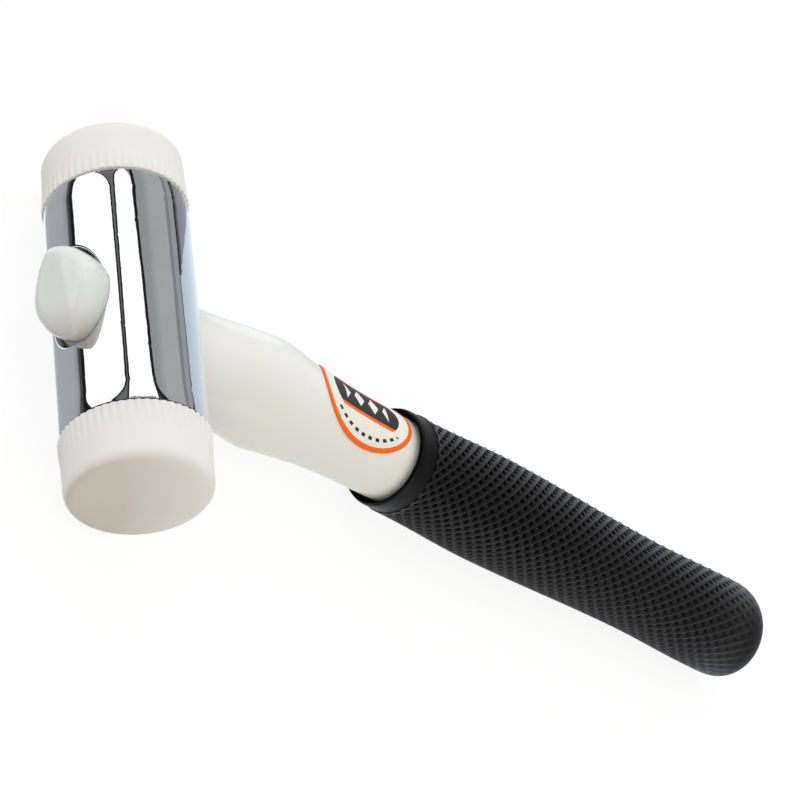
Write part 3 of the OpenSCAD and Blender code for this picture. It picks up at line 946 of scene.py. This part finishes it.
def add_floor():
    """Plain floor: white to the camera with a faint shadow, and lit as a matt floor for all else."""
    half = 2.0
    shadow = 0.12
    mesh = bpy.data.meshes.new("floor")
    corners = [(-half, -half, 0), (half, -half, 0), (half, half, 0), (-half, half, 0)]
    mesh.from_pydata(corners, [], [(0, 1, 2, 3)])
    floor = add_object("floor", mesh)
    material, n = bare_material("floor_white")
    lit = n.add("ShaderNodeBsdfDiffuse")
    lit.inputs["Color"].default_value = rgba(0.80, 0.79, 0.77)
    glow = n.add("ShaderNodeEmission")
    glow.inputs["Strength"].default_value = 1.03
    seen = n.mix_shaders(shadow, glow.outputs[0], lit.outputs[0])
    result = n.mix_shaders(n.direct(), lit.outputs[0], seen)
    n.links.new(result, n.add("ShaderNodeOutputMaterial").inputs["Surface"])
    mesh.materials.append(material)
    # Reflections look past the floor, to the studio's cards and the white world behind them
    floor.visible_glossy = False


def add_world():
    """White to the camera and in reflections; soft light that is cool from behind and warm from the front."""
    world = bpy.data.worlds.new("studio")
    bpy.context.scene.world = world
    world.use_nodes = True
    n = Nodes(world.node_tree)
    n.nodes.clear()
    coords = n.add("ShaderNodeTexCoord")
    along = n.add("ShaderNodeVectorMath", operation="DOT_PRODUCT")
    n.links.new(coords.outputs["Generated"], along.inputs[0])
    from_behind = Vector((0.1, 0.98, 0.15)).normalized()
    along.inputs[1].default_value = from_behind
    behind = n.spread(along.outputs["Value"], 0.0, 1.0, -1.0, 1.0)
    soft = n.add("ShaderNodeBackground")
    warm = rgba(0.60, 0.565, 0.47)
    cool = rgba(0.865, 0.905, 1.0)
    n.feed(soft.inputs["Color"], n.mix(behind, warm, cool))
    soft.inputs["Strength"].default_value = 1.40
    white = n.add("ShaderNodeBackground")
    white.inputs["Color"].default_value = rgba(1, 1, 1)
    result = n.mix_shaders(n.direct(), soft.outputs[0], white.outputs[0])
    n.links.new(result, n.add("ShaderNodeOutputWorld").inputs["Surface"])


def card_material(name, bands):
    """Glow of a card: one colour, or colours that change with the angle about the head's axis."""
    material, n = bare_material(name)
    glow = n.add("ShaderNodeEmission")
    if len(bands) == 1:
        glow.inputs["Color"].default_value = rgba(*bands[0][1])
    else:
        first, last = bands[0][0], bands[-1][0]
        turn = n.add("ShaderNodeAttribute", attribute_name="turn").outputs["Fac"]
        ramp = n.add("ShaderNodeValToRGB")
        stops = ramp.color_ramp.elements
        while len(stops) < len(bands):
            stops.new(1.0)
        for stop, (angle, colour) in zip(stops, bands):
            stop.position = (angle - first) / (last - first)
            stop.color = rgba(*colour)
        n.feed(ramp.inputs["Fac"], n.spread(turn, 0.0, 1.0, first, last))
        n.links.new(ramp.outputs["Color"], glow.inputs["Color"])
    n.links.new(glow.outputs[0], n.add("ShaderNodeOutputMaterial").inputs["Surface"])
    material.cycles.emission_sampling = "NONE"
    return material


def add_card(name, left, right, low, high, distance, bands, corners=((0, 0), (0, 0)), bow=0, settle=math.inf):
    """A studio card bent round the head's axis. Left and right are its edges in degrees about that
    axis, each given at its low and its high end along the axis. Corners are the reach along the axis
    and round it of the rounding at the low and at the high end. The left edge bows by some degrees.
    From settle on the edges keep their angle."""
    reach_low, turn_low = corners[0]
    reach_high, turn_high = corners[1]
    ends = np.linspace(0, 1, 13) ** 2
    straight = np.linspace(low + reach_low, high - reach_high, 24)
    rows = np.unique(np.concatenate([low + reach_low * ends, straight, high - reach_high * ends]))
    columns = np.linspace(0, 1, 65)
    points, turns = [], []
    for y in rows:
        share = (min(y, settle) - low) / (high - low)
        inset = 0.0
        if y < low + reach_low:
            inset = turn_low * (1 - math.sqrt(1 - (1 - (y - low) / reach_low) ** 2))
        elif y > high - reach_high:
            inset = turn_high * (1 - math.sqrt(1 - (1 - (high - y) / reach_high) ** 2))
        a = left[0] + (left[1] - left[0]) * share + inset + bow * ((y - CARD_MIDDLE) / CARD_BOW_AT) ** 2
        b = right[0] + (right[1] - right[0]) * share - inset
        turn = np.radians(a + (b - a) * columns)
        turns.append(np.degrees(turn))
        points.append(np.stack([distance * np.cos(turn), np.full(turn.shape, y), distance * np.sin(turn)], 1))
    count = len(columns)
    faces = [
        (r * count + c, r * count + c + 1, (r + 1) * count + c + 1, (r + 1) * count + c)
        for r in range(len(rows) - 1)
        for c in range(count - 1)
    ]
    mesh = placed_mesh(name, np.concatenate(points), faces)
    paint(mesh, "turn", np.concatenate(turns))
    mesh.materials.append(card_material(name, bands))
    card = add_object(name, mesh)
    card.visible_camera = False
    card.visible_diffuse = False
    card.visible_shadow = False
    card.visible_transmission = False
    card.visible_volume_scatter = False


def add_cards():
    """What only reflections see: a surround, a back wall, a framed panel, a pale sheet, a dark bar and
    two framed softboxes. Angles are about the head's axis: 0 is along the handle, 90 is up and 180 is
    away from the handle."""
    white = (1.15, 1.15, 1.15)
    black = (0.012, 0.012, 0.016)
    grey = (0.20, 0.20, 0.21)
    dark = (0.14, 0.145, 0.14)
    surround = [
        (-45, (0.90, 0.95, 1.0)),
        (-22, (0.62, 0.68, 0.78)),
        (-8, (0.36, 0.39, 0.47)),
        (2, (0.30, 0.315, 0.355)),
        (26, (0.235, 0.245, 0.27)),
        (28, (0.085, 0.09, 0.10)),
        (34, (0.085, 0.09, 0.10)),
        (206, (0.02, 0.019, 0.018)),
        (211, (0.02, 0.019, 0.018)),
        (212, (0.10, 0.095, 0.09)),
        (215, (0.03, 0.03, 0.03)),
        (217, (0.13, 0.13, 0.14)),
        (219, (0.29, 0.30, 0.31)),
        (228, (0.36, 0.38, 0.405)),
        (270, (0.375, 0.40, 0.435)),
        (282, (0.42, 0.445, 0.48)),
        (288, (0.85, 0.88, 0.91)),
        (294, (1.0, 1.0, 1.0)),
    ]
    add_card(
        "surround", left=(-45, -45), right=(294, 294), low=-900, high=900, distance=650,
        bands=surround)
    add_card(
        "back_wall", left=(34, 34), right=(206, 206), low=420, high=900, distance=645,
        bands=[(0, grey)])
    panel = [
        (34, (0.28, 0.29, 0.305)),
        (45, (0.31, 0.32, 0.335)),
        (46, (0.21, 0.22, 0.23)),
        (52, (0.22, 0.23, 0.235)),
        (53, (0.37, 0.385, 0.385)),
        (80, (0.37, 0.385, 0.385)),
        (92, (0.28, 0.295, 0.29)),
        (120, (0.27, 0.285, 0.28)),
    ]
    add_card(
        "panel_frame", left=(32, 32), right=(97, 124.3), low=225, high=900, distance=640,
        bands=[(0, black)], corners=((95, 24), (0, 0)), settle=CARD_ROLL)
    add_card(
        "panel", left=(35, 35), right=(92.5, 119.3), low=243, high=900, distance=635,
        bands=panel, corners=((95, 23), (0, 0)), settle=CARD_ROLL)
    sheet = [
        (-45, (0.92, 0.97, 1.0)),
        (-20, (0.80, 0.87, 0.95)),
        (0, (0.66, 0.73, 0.81)),
        (20, (0.55, 0.61, 0.69)),
        (44, (0.45, 0.48, 0.54)),
    ]
    add_card(
        "sheet", left=(-60, -60), right=(32.8, 33.8), low=150, high=446, distance=602,
        bands=sheet)
    add_card(
        "sheet_top", left=(-60, -60), right=(33.8, -30), low=446, high=520, distance=602,
        bands=sheet)
    add_card(
        "bar", left=(136.5, 133), right=(174, 148), low=238, high=900, distance=625,
        bands=[(0, dark)], corners=((45, 7), (0, 0)))
    add_card(
        "frame_wide", left=(141.5, 138), right=(212, 212), low=226, high=728, distance=620,
        bands=[(0, black)], corners=((110, 20), (125, 13)), bow=1.2)
    add_card(
        "softbox_wide", left=(144, 140.5), right=(206, 204.5), low=236, high=714, distance=615,
        bands=[(0, white)], corners=((108, 20), (122, 13)), bow=1.2)
    add_card(
        "frame_slim", left=(97.7, 117.8), right=(142.4, 132.4), low=236, high=728, distance=610,
        bands=[(0, black)], corners=((0, 0), (165, 13)), settle=CARD_ROLL)
    add_card(
        "softbox_slim", left=(97.7, 117.4), right=(139.9, 130.0), low=236, high=714, distance=605,
        bands=[(0, white)], corners=((0, 0), (160, 12)), settle=CARD_ROLL)


def add_lamp(name, at, size, power, colour):
    """A soft lamp that shines at the origin and isn't seen in reflections."""
    lamp = bpy.data.lights.new(name, "AREA")
    lamp.shape = "RECTANGLE"
    lamp.size, lamp.size_y = size
    lamp.energy = power
    lamp.color = colour
    source = add_object(name, lamp)
    source.location = at
    source.rotation_euler = (-Vector(at)).to_track_quat("-Z", "Y").to_euler()
    source.visible_glossy = False


def add_camera():
    """The camera that fits the photograph."""
    data = bpy.data.cameras.new("camera")
    data.sensor_width = 36.0
    data.lens = CAMERA_LENS
    camera = add_object("camera", data)
    turn = REST.to_3x3().normalized()
    back = -(turn @ CAMERA_LOOKS).normalized()
    right = (turn @ CAMERA_UP).cross(back).normalized()
    up = back.cross(right)
    axes = Matrix((right, up, back)).transposed().to_4x4()
    camera.matrix_world = Matrix.Translation(REST @ Vector(CAMERA_AT)) @ axes
    bpy.context.scene.camera = camera


chrome = chrome_material()
# The faces' darker tone is painted shade and wear on the struck discs
face_nylon = nylon_material(
    "face_nylon",
    dull=rgba(0.79, 0.773, 0.725),
    fresh=rgba(0.81, 0.793, 0.745),
    shade_and_wear_tone=rgba(0.605, 0.55, 0.487),
    roughness=(0.40, 0.50),
    grain=0.000003,
)
# The handle's darker tone is painted shade on the formed end's lower side
handle_nylon = nylon_material(
    "handle_nylon",
    dull=rgba(0.822, 0.814, 0.752),
    fresh=rgba(0.842, 0.834, 0.772),
    shade_and_wear_tone=rgba(0.49, 0.475, 0.44),
    roughness=(0.13, 0.19),
    grain=0.0000008,
)
build_head(chrome)
build_face("face_front", -1, face_nylon, "front_face")
build_face("face_rear", 1, face_nylon, "rear_face")
build_handle(handle_nylon)
build_grip(rubber_material())
build_label(label_material())

add_floor()
add_world()
add_cards()
add_lamp("fill", at=(-0.25, 0.75, 1.1), size=(0.9, 0.9), power=1.0, colour=(1.0, 0.99, 0.97))
add_camera()
bpy.context.scene.view_settings.view_transform = "Standard"
